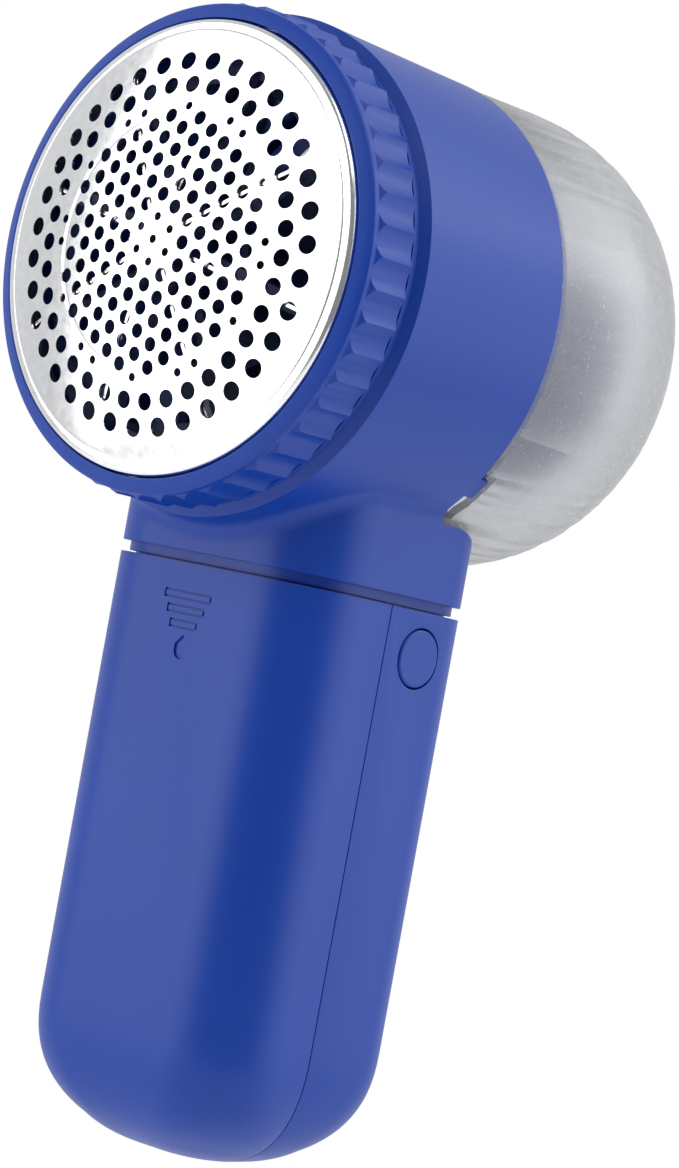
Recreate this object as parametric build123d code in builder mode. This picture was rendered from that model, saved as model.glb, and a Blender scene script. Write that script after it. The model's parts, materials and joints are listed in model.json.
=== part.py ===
"""Hand-held fabric shaver: a round cutting head on a grip, with a lint bin behind the head.

Frame: millimetres, +Z up, the foil faces -Y, and the origin lies under the middle of the
whole object at the lowest point of the grip. The head's axis runs along Y at HEAD_Z.
Depths in the head are counted along +Y from the plane of the foil's outer row of holes.
Heights in the grip are counted along the leaning grip from GRIP's origin.
"""
from build123d import *
from math import cos, radians, sin, sqrt
import os

os.makedirs("parts", exist_ok=True)

# ---- Driving dimensions: place of head and grip ------------------------------------
HEAD_Z = 116.8
HEAD_Y = -39.9
LEAN = 2.42  # degrees that the grip's foot leans back
GRIP_DEPTH = 36.94  # depth of the grip's middle, GRIP_DROP below the head's axis
GRIP_DROP = 48.0
FIT = 0.3  # gap between pieces that move apart
FAR = 100.0  # beyond every piece of the grip, for tools that cut it

# ---- Foil and its ring --------------------------------------------------------------
DOME_APEX = -2.65
DOME_R = 108.0
SHEET = 0.3
FOIL_R = 30.0
FOIL_EDGE_R = 29.3
FLANGE_R = 31.0
FLANGE_BACK = 6.0
ROW_COUNT = 35
OUTER_ROW_R = 24.0
OUTER_ROW_START = 4.6
OUTER_HOLE_R = 1.23
SECOND_ROW_R = 20.72
SECOND_ROW_START = 9.75
SECOND_HOLE_R = 1.15
LATTICE_PITCH = 2.96
LATTICE_REACH = 6.1
LATTICE_HOLE_R = 0.96
PIN_HOLE_R = 0.576
RING_FRONT = 1.95
RING_BACK = 10.4
RING_R = 32.75
RING_BORE = 30.15
RING_COUNTERBORE = 31.3
RING_SHOULDER = 5.6
FLUTES = 50
FLUTE_R = 4.1
FLUTE_DEPTH = 0.6
FLUTE_FRONT = 3.9
LUGS = 3
LUG_FRONT = 9.0
LUG_BACK = 9.8

# ---- Barrel of the head -------------------------------------------------------------
COLLAR_FRONT = 7.9
COLLAR_R = 31.0
COLLAR_BORE = 28.8
SHADOW_R = 32.1  # recessed band between ring and barrel
BARREL_FRONT = 12.5
BARREL_BACK = 40.9
BARREL_R_FRONT = 33.45
BARREL_R_BACK = 32.7
BARREL_WALL = 2.0
SLEEVE_R = 30.9
SLEEVE_BORE = 29.4
SLEEVE_BACK = 43.8
SADDLE_R = 34.0
NECK_ROOF_R = 35.6
NECK_FILLET = 3.0

# ---- Lint bin -----------------------------------------------------------------------
BIN_FRONT = 41.1
BIN_R = 32.4
BIN_WALL = 1.2
BIN_SHOULDER = 57.9
BIN_BACK = 82.5
BIN_FLAT_R = 7.0

# ---- Grip ---------------------------------------------------------------------------
HALF_X = 20.35
HALF_Y = 18.86
CORNER = 11.0
WALL = 1.7
FOOT = -68.85
FOOT_ROUND = 18.1
FOOT_POWER = 0.8  # 1 rounds the foot as a circle, less squares it off
GROOVE_TOP = HEAD_Z - 37.6
GROOVE_BOTTOM = HEAD_Z - 39.2
GROOVE_DEPTH = 1.1
TONGUE = 5.0
SEAM_Y = -2.1
SEAM_GAP = 0.2

# ---- Motor and cutter ---------------------------------------------------------------
SHAFT_R = 1.0
BUSH_BORE = 1.03
BUSH_R = 3.0
MOTOR_R = 12.0
MOTOR_FRONT = 16.0
MOTOR_BACK = 38.0
CAN_WALL = 1.0
MOUNT_R = 13.9
SPOKE = 2.2
BLADES = 8
BLADE_START = 30.4
BLADE_SHEET = 0.5
BLADE_TIP = 25.6
BLADE_ROOT = 3.6
BLADE_GAP = 0.25
HUB_R = 24.6
HUB_FRONT = 3.0
HUB_BACK = 7.4
COVER_R = 17.5
COVER_BORE = 16.1
COVER_WALL = 60.0
COVER_BACK = 74.5
COVER_RIBS = 40

# ---- Cells and tray -----------------------------------------------------------------
CELL_R = 7.1
CELL_BODY = 48.8
CELL_NUB = 1.4
CELL_X = 7.55
CELL_Y = -9.1
CELL_FOOT = -57.0
TRAY_FRONT = -1.6
TRAY_BACK = 0.2

# ---- Button -------------------------------------------------------------------------
BUTTON_R = 3.9
BUTTON_HOLE_R = 4.15
BUTTON_Y = 5.0
BUTTON_H = 2.4
BUTTON_FACE = HALF_X + 0.15
BUTTON_FLANGE_R = 4.8
SWITCH_FACE = 14.2
SWITCH_BACK = 9.6
SWITCH_HALF = 4.2
PLUNGER_R = 1.6
SCREW_HEIGHTS = (-50.0, -9.0)
SCREW_CORE_R = 0.85
SCREW_HEAD_R = 1.9
LEAD_R = 0.6
TERMINAL_X = 7.5  # screws and terminals of the motor, each side of its axis

# ---- Reference planes and axes ------------------------------------------------------
AXIS = Axis((0, HEAD_Y, HEAD_Z), (0, 1, 0))
SIDE = Plane(origin=(0, HEAD_Y, HEAD_Z), x_dir=(0, 1, 0), z_dir=(1, 0, 0))
UP = (0, -sin(radians(LEAN)), cos(radians(LEAN)))
REAR = (0, cos(radians(LEAN)), sin(radians(LEAN)))
GRIP = Plane(origin=(0, HEAD_Y + GRIP_DEPTH, HEAD_Z - GRIP_DROP), x_dir=(1, 0, 0), z_dir=UP)


def facing(depth):
    """Plane across the head at a depth, seen from the foil: x right, y up, extrude forward."""
    return Plane(origin=(0, HEAD_Y + depth, HEAD_Z), x_dir=(1, 0, 0), z_dir=(0, -1, 0))


def grip_side(x):
    """Plane across the grip at x: local x to the rear, local y up the grip, extrude to +X."""
    return Plane(origin=GRIP.from_local_coords((x, 0, 0)), x_dir=REAR, z_dir=(1, 0, 0))


def grip_back(y):
    """Plane along the grip's width: local x right, local y up, extrude to the front."""
    return Plane(origin=GRIP.from_local_coords((0, y, 0)), x_dir=(1, 0, 0), z_dir=[-v for v in REAR])


def dome(radius, behind=0.0):
    """Depth of the foil's outer surface, or of a surface behind it, at a radius."""
    return DOME_APEX + behind + DOME_R - sqrt(DOME_R**2 - radius**2)


def turned(inner, outer, front, back):
    """Plain ring, or disc, about the head's axis."""
    with BuildPart(mode=Mode.PRIVATE) as ring:
        with BuildSketch(facing(back)):
            Circle(outer)
            if inner:
                Circle(inner, mode=Mode.SUBTRACT)
        extrude(amount=back - front)
    return ring.part


def wedge(inner, outer, front, back, start, sweep):
    """Stretch of a ring about the head's axis, from an angle seen from the foil."""
    with BuildPart(mode=Mode.PRIVATE) as piece:
        with BuildSketch(facing(back)):
            with BuildLine():
                CenterArc((0, 0), outer, start, sweep)
                Line((0, 0), (outer * cos(radians(start)), outer * sin(radians(start))))
                end = radians(start + sweep)
                Line((0, 0), (outer * cos(end), outer * sin(end)))
            make_face()
            Circle(inner, mode=Mode.SUBTRACT)
        extrude(amount=back - front)
    return piece.part


def head_box(x, depth, z):
    """Box in the head from ranges of x, depth and height about the head's axis."""
    middle = Vector((x[0] + x[1]) / 2, HEAD_Y + (depth[0] + depth[1]) / 2, HEAD_Z + (z[0] + z[1]) / 2)
    return Pos(middle) * Box(x[1] - x[0], depth[1] - depth[0], z[1] - z[0], mode=Mode.PRIVATE)


def grip_box(x, y, h):
    """Box in the grip from ranges of x, y and height along the grip."""
    middle = ((x[0] + x[1]) / 2, (y[0] + y[1]) / 2, (h[0] + h[1]) / 2)
    block = Box(x[1] - x[0], y[1] - y[0], h[1] - h[0], mode=Mode.PRIVATE)
    return GRIP.location * Pos(middle) * block


def level_box(low, high):
    """Wide box between two heights of the row frame."""
    return Pos(0, 0, (low + high) / 2) * Box(2 * FAR, 2 * FAR, high - low, mode=Mode.PRIVATE)


def grip_section(inset, draw_in=0.0):
    """The grip's rounded rectangle inside a wall, drawn in further towards the foot."""
    half_x = HALF_X - inset - draw_in
    half_y = HALF_Y - inset - draw_in
    with BuildSketch(mode=Mode.PRIVATE) as section:
        RectangleRounded(2 * half_x, 2 * half_y, min(CORNER - inset, 0.9 * half_y))
    return section.sketch


def grip_solid(inset, top):
    """The grip's outer shape, drawn in by an inset, from its rounded foot up to a height."""
    round_off = FOOT_ROUND - inset
    start = FOOT + FOOT_ROUND
    with BuildPart(mode=Mode.PRIVATE) as solid:
        with BuildSketch(GRIP.offset(start)):
            add(grip_section(inset))
        extrude(amount=top - start)
        for turn in (0, 9, 18, 27, 36, 45, 54, 63, 71, 78, 84, 88):
            drop = round_off * sin(radians(turn)) ** FOOT_POWER
            draw_in = round_off * (1 - cos(radians(turn)) ** FOOT_POWER)
            with BuildSketch(GRIP.offset(start - drop)):
                add(grip_section(inset, draw_in))
        loft(ruled=True)
    return solid.part


def tube(points, radius, bend):
    """Round wire along a path with rounded corners."""
    with BuildPart(mode=Mode.PRIVATE) as wire:
        with BuildLine() as path:
            FilletPolyline(*points, radius=bend)
        with BuildSketch(Plane(origin=path.line @ 0, z_dir=path.line % 0)):
            Circle(radius)
        sweep(path=path.line)
    return wire.part


def joins_neck(edge):
    """Whether an edge lies where the neck meets the barrel."""
    middle = edge @ 0.5
    radius = sqrt(middle.X**2 + (middle.Z - HEAD_Z) ** 2)
    depth = middle.Y - HEAD_Y
    return (abs(radius - BARREL_R_FRONT) < 0.9 and BARREL_FRONT + 1 < depth < BARREL_BACK - 0.3
            and middle.Z < HEAD_Z - 20 and edge.geom_type != GeomType.CIRCLE)


def save(piece, name):
    """Label a finished piece and write it to its own STEP file."""
    piece.label = name
    export_step(piece, f"parts/{name}.step")


# ======================= Foil, ring and retainer =====================================
with BuildPart() as cutter_foil:
    inner_edge = FOIL_EDGE_R - 0.15
    with BuildSketch(SIDE):
        with BuildLine():
            ThreePointArc((DOME_APEX, 0), (dome(15), 15), (dome(FOIL_EDGE_R), FOIL_EDGE_R))
            Polyline(
                (dome(FOIL_EDGE_R), FOIL_EDGE_R),
                (dome(FOIL_EDGE_R) + 0.7, FOIL_R),
                (FLANGE_BACK - SHEET, FOIL_R),
                (FLANGE_BACK - SHEET, FLANGE_R),
                (FLANGE_BACK, FLANGE_R),
                (FLANGE_BACK, FOIL_R - SHEET),
                (dome(FOIL_EDGE_R) + 0.85, FOIL_R - SHEET),
                (dome(inner_edge, SHEET), inner_edge),
            )
            ThreePointArc(
                (dome(inner_edge, SHEET), inner_edge), (dome(15, SHEET), 15), (DOME_APEX + SHEET, 0)
            )
            Line((DOME_APEX + SHEET, 0), (DOME_APEX, 0))
        make_face()
    revolve(axis=AXIS)
    lattice = []
    for column in range(-8, 9):
        for step in range(-8, 9):
            across = column * sqrt(3) / 2
            along = step + column / 2
            if sqrt(across**2 + along**2) < LATTICE_REACH:
                lattice.append((across, along))
    pin_rings = (0.0, 1.0, 6.0, sqrt(37))
    pins = [p for p in lattice if min(abs(sqrt(p[0] ** 2 + p[1] ** 2) - ring) for ring in pin_rings) < 0.01]
    with BuildSketch(facing(FLANGE_BACK)):
        with PolarLocations(OUTER_ROW_R, ROW_COUNT, start_angle=OUTER_ROW_START):
            Circle(OUTER_HOLE_R)
        with PolarLocations(SECOND_ROW_R, ROW_COUNT, start_angle=SECOND_ROW_START):
            Circle(SECOND_HOLE_R)
        with Locations(*[(LATTICE_PITCH * a, LATTICE_PITCH * b) for a, b in lattice if (a, b) not in pins]):
            Circle(LATTICE_HOLE_R)
        with Locations(*[(LATTICE_PITCH * a, LATTICE_PITCH * b) for a, b in pins]):
            Circle(PIN_HOLE_R)
    extrude(amount=FLANGE_BACK - DOME_APEX + 1, mode=Mode.SUBTRACT)
save(cutter_foil.part, "cutter_foil")

with BuildPart() as foil_ring:
    with BuildSketch(SIDE):
        with BuildLine():
            Polyline((RING_FRONT, RING_BORE), (RING_SHOULDER, RING_BORE), (RING_SHOULDER, RING_COUNTERBORE),
                     (RING_BACK, RING_COUNTERBORE), (RING_BACK, RING_R), (3.5, RING_R))
            ThreePointArc((3.5, RING_R), (2.85, 32.6), (2.6, 32.2))
            Line((2.6, 32.2), (RING_FRONT, RING_BORE))
        make_face()
    revolve(axis=AXIS)
    with BuildSketch(facing(RING_BACK + 1)):
        with PolarLocations(RING_R + FLUTE_R - FLUTE_DEPTH, FLUTES):
            Circle(FLUTE_R)
    extrude(amount=RING_BACK + 1 - FLUTE_FRONT, mode=Mode.SUBTRACT)
    for lug in range(LUGS):
        add(wedge(COLLAR_R - 0.55, RING_COUNTERBORE + 0.2, LUG_FRONT, LUG_BACK, 82 + 120 * lug, 16))
save(foil_ring.part, "foil_ring")

with BuildPart() as foil_retainer:
    add(turned(FOIL_R - 0.9, FLANGE_R + 0.15, FLANGE_BACK + 0.05, FLANGE_BACK + 1.25))
    with BuildSketch(facing(FLANGE_BACK + 2)):
        with PolarLocations(FLANGE_R, 6):
            Rectangle(1.4, 4.0)
    extrude(amount=3, mode=Mode.SUBTRACT)
save(foil_retainer.part, "foil_retainer")

# ======================= Head housing ================================================
with BuildPart() as head_housing:
    # neck: the top of the grip, up to the barrel, with a saddle for the bin
    add(grip_solid(0, GRIP_DROP))
    add(level_box(-10, GROOVE_TOP), mode=Mode.SUBTRACT)
    add(turned(0, SADDLE_R, BARREL_BACK, 70), mode=Mode.SUBTRACT)
    add(turned(0, BARREL_R_BACK - 0.5, BARREL_FRONT + 1, BARREL_BACK))
    with BuildSketch(SIDE):
        with BuildLine():
            Polyline((COLLAR_FRONT, 0), (COLLAR_FRONT, COLLAR_R), (RING_BACK + 0.35, COLLAR_R),
                     (RING_BACK + 0.35, SHADOW_R), (BARREL_FRONT - 0.9, SHADOW_R),
                     (BARREL_FRONT, BARREL_R_FRONT), (BARREL_BACK, BARREL_R_BACK),
                     (BARREL_BACK, SLEEVE_R), (SLEEVE_BACK, SLEEVE_R), (SLEEVE_BACK, 0), close=True)
        make_face()
    revolve(axis=AXIS)
    fillet(head_housing.edges().filter_by(joins_neck), NECK_FILLET)
    # neck's hollow, under a roof that closes it from the barrel
    hollow = grip_solid(WALL + 1.6, GRIP_DROP) - turned(0, NECK_ROOF_R, 0, 90)
    # spigot below the groove
    add(grip_solid(GROOVE_DEPTH, GRIP_DROP) & level_box(GROOVE_BOTTOM + FIT, GROOVE_TOP + 0.5))
    add(grip_solid(WALL + FIT, GRIP_DROP) & level_box(GROOVE_BOTTOM - TONGUE, GROOVE_TOP + 0.5))
    add(hollow, mode=Mode.SUBTRACT)
    # barrel's bore
    with BuildSketch(SIDE):
        with BuildLine():
            Polyline((0, 0), (0, COLLAR_BORE), (BARREL_FRONT + 2, COLLAR_BORE),
                     (BARREL_FRONT + 2, BARREL_R_FRONT - BARREL_WALL),
                     (BARREL_BACK - 2, BARREL_R_BACK - BARREL_WALL),
                     (BARREL_BACK - 2, SLEEVE_BORE), (SLEEVE_BACK + 1, SLEEVE_BORE), (SLEEVE_BACK + 1, 0),
                     close=True)
        make_face()
    revolve(axis=AXIS, mode=Mode.SUBTRACT)
    # bayonet groove with an entry for each lug
    add(turned(COLLAR_R - 0.8, COLLAR_R + 0.01, LUG_FRONT - 0.25, LUG_BACK + 0.25), mode=Mode.SUBTRACT)
    for lug in range(LUGS):
        add(wedge(COLLAR_R - 0.8, COLLAR_R + 0.01, COLLAR_FRONT - 1, LUG_FRONT, 82 + 25 - 1 + 120 * lug, 18),
            mode=Mode.SUBTRACT)
    # catch for the bin, and the wires' way into the neck
    add(wedge(SLEEVE_R - 0.5, BIN_R - 0.3, BIN_FRONT + 0.1, SLEEVE_BACK - 0.3, -46, 6))
    add(head_box((-5, 5), (24, 34), (-37, -29)), mode=Mode.SUBTRACT)
    # room in the tongue for the button's flange
    room = BUTTON_FLANGE_R + 0.5
    add(grip_box((14, HALF_X), (BUTTON_Y - room, BUTTON_Y + room), (-5, 8)), mode=Mode.SUBTRACT)
save(head_housing.part, "head_housing")

# ======================= Lint bin ====================================================


def bin_outline(inset):
    """Half profile of the bin, drawn in by an inset: skirt, full round shoulder, flat end."""
    side = BIN_R - inset
    back = BIN_BACK - inset
    reach = back - BIN_SHOULDER
    flat = BIN_FLAT_R
    with BuildSketch(SIDE, mode=Mode.PRIVATE) as half:
        with BuildLine():
            Line((BIN_FRONT, 0), (BIN_FRONT, side))
            Line((BIN_FRONT, side), (BIN_SHOULDER, side))
            Bezier((BIN_SHOULDER, side), (BIN_SHOULDER + 0.7 * reach, side),
                   (back, flat + 0.525 * (side - flat)), (back, flat))
            Line((back, flat), (back, 0))
            Line((back, 0), (BIN_FRONT, 0))
        make_face()
    return half.sketch


with BuildPart() as lint_bin:
    add(bin_outline(0))
    revolve(axis=AXIS)
    add(bin_outline(BIN_WALL))
    revolve(axis=AXIS, mode=Mode.SUBTRACT)
    # window for the catch, with a shallow step beside it
    add(wedge(SLEEVE_R - 1, BIN_R + 1, BIN_FRONT - 1, SLEEVE_BACK + 0.2, -54, 16), mode=Mode.SUBTRACT)
    add(wedge(SLEEVE_R - 1, BIN_R + 1, BIN_FRONT - 1, BIN_FRONT + 1.1, -38.2, 12), mode=Mode.SUBTRACT)
save(lint_bin.part, "lint_bin")

# ======================= Motor, its mount and its cover ==============================
with BuildPart() as motor_mount:
    add(turned(MOTOR_R + 0.1, MOUNT_R, MOTOR_FRONT - 1.6, MOTOR_BACK + 2.2))
    add(turned(BUSH_R + 0.1, MOUNT_R, MOTOR_FRONT - 1.6, MOTOR_FRONT))
    for angle in (30, 150):
        with BuildSketch(facing(MOTOR_BACK)):
            with PolarLocations((MOUNT_R + 30.4) / 2 - 0.2, 1, start_angle=angle):
                Rectangle(30.4 - MOUNT_R + 0.4, SPOKE)
        extrude(amount=MOTOR_BACK - MOTOR_FRONT)
    for side in (-1, 1):
        with BuildSketch(facing(MOTOR_BACK)):
            with Locations((side * 6.2, -(MOUNT_R + 29.6) / 2 + 0.6)):
                Rectangle(1.6, 29.6 - MOUNT_R + 1.2)
        extrude(amount=MOTOR_BACK - MOTOR_FRONT)
    with BuildSketch(facing(MOTOR_FRONT + 1)):
        with PolarLocations(TERMINAL_X, 2):
            Circle(0.95)
    extrude(amount=5, mode=Mode.SUBTRACT)
save(motor_mount.part, "motor_mount")

with BuildPart() as motor_can:
    add(turned(MOTOR_R - CAN_WALL, MOTOR_R, MOTOR_FRONT + 0.05, MOTOR_BACK))
    add(turned(BUSH_R, MOTOR_R, MOTOR_FRONT + 0.05, MOTOR_FRONT + 1.1))
    with BuildSketch(facing(MOTOR_FRONT + 2)):
        with PolarLocations(TERMINAL_X, 2):
            Circle(0.8)
    extrude(amount=3, mode=Mode.SUBTRACT)
save(motor_can.part, "motor_can")

with BuildPart() as motor_end_cap:
    add(turned(BUSH_R, MOTOR_R - 0.05, MOTOR_BACK + 0.05, MOTOR_BACK + 1.8))
    add(turned(BUSH_R, BUSH_R + 1.5, MOTOR_BACK - 1, MOTOR_BACK + 2.6))
    for side in (-1, 1):
        middle = side * TERMINAL_X
        add(head_box((middle - 1.1, middle + 1.1), (MOTOR_BACK, MOTOR_BACK + 2), (-0.3, 0.3)),
            mode=Mode.SUBTRACT)
save(motor_end_cap.part, "motor_end_cap")

for name, front, back in (("front_bush", 14.9, 18.2), ("rear_bush", 37.4, 40.4)):
    with BuildPart() as bush:
        add(turned(BUSH_BORE, BUSH_R, front, back))
        chamfer(bush.edges().filter_by(GeomType.CIRCLE).group_by(SortBy.RADIUS)[-1], 0.3)
    save(bush.part, name)

with BuildPart() as felt_washer:
    add(turned(BUSH_BORE + 0.1, 4.2, 13.9, 14.35))
save(felt_washer.part, "felt_washer")

with BuildPart() as motor_magnets:
    for start in (30, 210):
        add(wedge(9.6, MOTOR_R - CAN_WALL - 0.05, 19.0, 35.0, start, 120))
save(motor_magnets.part, "motor_magnets")

with BuildPart() as mount_screws:
    for side in (-1, 1):
        with BuildSketch(facing(MOTOR_FRONT - 1.65)):
            with Locations((side * TERMINAL_X, 0)):
                Circle(1.6)
        extrude(amount=0.9)
        with BuildSketch(facing(MOTOR_FRONT + 1.9)):
            with Locations((side * TERMINAL_X, 0)):
                Circle(0.72)
        extrude(amount=3.6)
        with BuildSketch(facing(MOTOR_FRONT - 2.1)):
            with Locations((side * TERMINAL_X, 0)):
                Rectangle(2.0, 0.45)
                Rectangle(0.45, 2.0)
        extrude(amount=1, mode=Mode.SUBTRACT)
save(mount_screws.part, "mount_screws")

with BuildPart() as motor_shaft:
    add(turned(0, SHAFT_R, 4.4, 41.4))
    add(head_box((0.65, 2), (4.4, 11), (-2, 2)), mode=Mode.SUBTRACT)
save(motor_shaft.part, "motor_shaft")

with BuildPart() as armature_core:
    add(turned(SHAFT_R, 8.8, 20.5, 33.5))
    for slot in range(3):
        add(wedge(3.4, 7.8, 20, 34, 90 + 120 * slot - 42, 84), mode=Mode.SUBTRACT)
        add(wedge(7.0, 9.5, 20, 34, 90 + 120 * slot - 7, 14), mode=Mode.SUBTRACT)
save(armature_core.part, "armature_core")

with BuildPart() as armature_windings:
    for slot in range(3):
        add(wedge(3.7, 7.5, 19.3, 34.4, 90 + 120 * slot - 38, 36))
        add(wedge(3.7, 7.5, 19.3, 34.4, 90 + 120 * slot + 2, 36))
save(armature_windings.part, "armature_windings")

with BuildPart() as commutator:
    add(turned(SHAFT_R, 2.6, 34.7, 37.1))
    for cut in range(3):
        add(wedge(2.2, 3.0, 34, 37.5, 30 + 120 * cut - 4, 8), mode=Mode.SUBTRACT)
save(commutator.part, "commutator")

with BuildPart() as motor_brushes:
    for side in (-1, 1):
        low, high = sorted((side * 2.7, side * 4.6))
        add(head_box((low, high), (35.2, 36.6), (-0.8, 0.8)))
        low, high = sorted((side * 4.6, side * 5.0))
        add(head_box((low, high), (35.2, MOTOR_BACK), (-0.8, 0.8)))
save(motor_brushes.part, "motor_brushes")

with BuildPart() as motor_terminals:
    for side in (-1, 1):
        middle = side * TERMINAL_X
        add(head_box((middle - 1, middle + 1), (MOTOR_BACK + 0.1, MOTOR_BACK + 4.6), (-0.2, 0.2)))
save(motor_terminals.part, "motor_terminals")

with BuildPart() as capacitor:
    with BuildSketch(facing(MOTOR_BACK + 4.4)):
        with Locations((0, 5.5)):
            Ellipse(2.6, 2.2)
    extrude(amount=1.6)
    fillet(capacitor.edges(), 0.5)
save(capacitor.part, "capacitor")

with BuildPart() as motor_cover:
    front = MOTOR_BACK + 3.4
    # cup that opens to the rear, with a closed wall across it
    with BuildSketch(SIDE):
        with BuildLine():
            Polyline((front, 0), (front, COVER_R), (COVER_BACK - 0.6, COVER_R), (COVER_BACK, COVER_R - 0.6),
                     (COVER_BACK, COVER_BORE), (COVER_WALL, COVER_BORE), (COVER_WALL, 0), close=True)
        make_face()
    revolve(axis=AXIS)
    add(turned(0, COVER_BORE, front - 1, COVER_WALL - 1.5), mode=Mode.SUBTRACT)
    add(turned(MOUNT_R + 0.05, COVER_R - 0.5, front, front + 1.6))
    with BuildSketch(facing(COVER_BACK - 2)):
        with PolarLocations(COVER_R + 0.7, COVER_RIBS):
            Rectangle(2.6, 1.2)
    extrude(amount=COVER_BACK - 2 - front)
    # way for the leads
    add(head_box((-5, 5), (front - 1, front + 6), (-COVER_R - 3, -MOUNT_R + 3)), mode=Mode.SUBTRACT)
save(motor_cover.part, "motor_cover")

# ======================= Cutter ======================================================
with BuildPart() as cutter_hub:
    add(turned(SHAFT_R, 5.2, HUB_FRONT - 1, 12.4))
    add(turned(SHAFT_R, 9.0, HUB_BACK - 1.6, HUB_BACK))
    add(turned(HUB_R - 2.2, HUB_R, HUB_BACK - 1.6, HUB_BACK))
    with BuildSketch(facing(HUB_BACK)):
        with PolarLocations(HUB_R / 2 + 1.0, BLADES, start_angle=BLADE_START):
            Rectangle(HUB_R - 4.0, 2.2)
    extrude(amount=HUB_BACK - HUB_FRONT)
    with BuildSketch(facing(HUB_BACK - 1)):
        with PolarLocations(HUB_R / 2 + 2.4, BLADES, start_angle=BLADE_START):
            Rectangle(HUB_R, BLADE_SHEET)
    extrude(amount=8, mode=Mode.SUBTRACT)
save(cutter_hub.part, "cutter_hub")

with BuildPart() as blades:
    with BuildSketch(facing(HUB_BACK - 1)):
        with PolarLocations((BLADE_ROOT + BLADE_TIP) / 2, BLADES, start_angle=BLADE_START):
            Rectangle(BLADE_TIP - BLADE_ROOT, BLADE_SHEET - 0.04)
    extrude(amount=HUB_BACK - 1 - DOME_APEX)
    with BuildSketch(SIDE):
        with BuildLine():
            edge = SHEET + BLADE_GAP
            ThreePointArc((dome(0, edge), 0), (dome(13, edge), 13), (dome(26.5, edge), 26.5))
            Polyline((dome(26.5, edge), 26.5), (-6, 26.5), (-6, 0), (dome(0, edge), 0))
        make_face()
    revolve(axis=AXIS, mode=Mode.SUBTRACT)
    add(turned(HUB_R - 2.0, 30, HUB_FRONT + 1.0, 12), mode=Mode.SUBTRACT)
    chamfer_tip = turned(0, 5.3, HUB_FRONT - 0.9, 20)
    add(chamfer_tip, mode=Mode.SUBTRACT)
save(blades.part, "blades")

with BuildPart() as hub_cap:
    add(turned(0, 3.0, -1.2, HUB_FRONT - 1.05))
    fillet(hub_cap.edges().sort_by(Axis.Y)[0], 0.8)
save(hub_cap.part, "hub_cap")

# ======================= Grip ========================================================
with BuildPart() as battery_cover:
    add(grip_solid(0, GRIP_DROP))
    add(grip_solid(WALL, GRIP_DROP + 2), mode=Mode.SUBTRACT)
    add(level_box(GROOVE_BOTTOM, HEAD_Z + FAR), mode=Mode.SUBTRACT)
    add(grip_box((-FAR, FAR), (SEAM_Y - SEAM_GAP / 2, FAR), (-FAR, FAR)), mode=Mode.SUBTRACT)
    add(grip_box((-1.6, 1.6), (SEAM_Y - 2.6, SEAM_Y), (FOOT - 1, FOOT + 3.2)), mode=Mode.SUBTRACT)
save(battery_cover.part, "battery_cover")

with BuildPart() as grip_rear_shell:
    add(grip_solid(0, GRIP_DROP))
    add(grip_solid(WALL, GRIP_DROP + 2), mode=Mode.SUBTRACT)
    for height in SCREW_HEIGHTS:
        add(grip_box((-3, 3), (TRAY_BACK + 0.05, HALF_Y - 1), (height - 3, height + 3)))
        with BuildSketch(grip_back(TRAY_BACK)):
            with Locations((0, height)):
                Circle(SCREW_CORE_R + 0.05)
        extrude(amount=-9, mode=Mode.SUBTRACT)
    add(level_box(GROOVE_BOTTOM, HEAD_Z + FAR), mode=Mode.SUBTRACT)
    add(grip_box((-FAR, FAR), (-FAR, SEAM_Y + SEAM_GAP / 2), (-FAR, FAR)), mode=Mode.SUBTRACT)
    with BuildSketch(grip_side(HALF_X - WALL - 1)):
        with Locations((BUTTON_Y, BUTTON_H)):
            Circle(BUTTON_HOLE_R)
    extrude(amount=WALL + 2, mode=Mode.SUBTRACT)
save(grip_rear_shell.part, "grip_rear_shell")

with BuildPart() as battery_tray:
    add(grip_box((-17.3, 17.3), (TRAY_FRONT, TRAY_BACK), (-58.6, 2.6)))
    add(grip_box((-12.4, 12.4), (-12.0, TRAY_BACK), (-60.4, -59.2)))
    add(grip_box((-12.4, 12.4), (TRAY_FRONT, TRAY_BACK), (-60.4, -58.0)))
    add(grip_box((-15.2, 15.2), (-14.4, TRAY_FRONT), (-5.2, -4.0)))
    add(grip_box((-0.35, 0.35), (-11.0, TRAY_FRONT), (-59.5, -5.0)))
    for height in SCREW_HEIGHTS:
        add(grip_box((-2.3, 2.3), (-4.0, TRAY_FRONT), (height - 2.4, height + 2.4)), mode=Mode.SUBTRACT)
        with BuildSketch(grip_back(TRAY_BACK + 1)):
            with Locations((0, height)):
                Circle(1.1)
        extrude(amount=4, mode=Mode.SUBTRACT)
save(battery_tray.part, "battery_tray")

with BuildPart() as frame_screws:
    for height in SCREW_HEIGHTS:
        with BuildSketch(grip_back(7.0)):
            with Locations((0, height)):
                Circle(SCREW_CORE_R)
        extrude(amount=7.0 - TRAY_FRONT)
        with BuildSketch(grip_back(TRAY_FRONT)):
            with Locations((0, height)):
                Circle(SCREW_HEAD_R)
        extrude(amount=1.1)
        with BuildSketch(grip_back(TRAY_FRONT - 0.6)):
            with Locations((0, height)):
                Rectangle(2.4, 0.5)
                Rectangle(0.5, 2.4)
        extrude(amount=1, mode=Mode.SUBTRACT)
save(frame_screws.part, "frame_screws")


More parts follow.
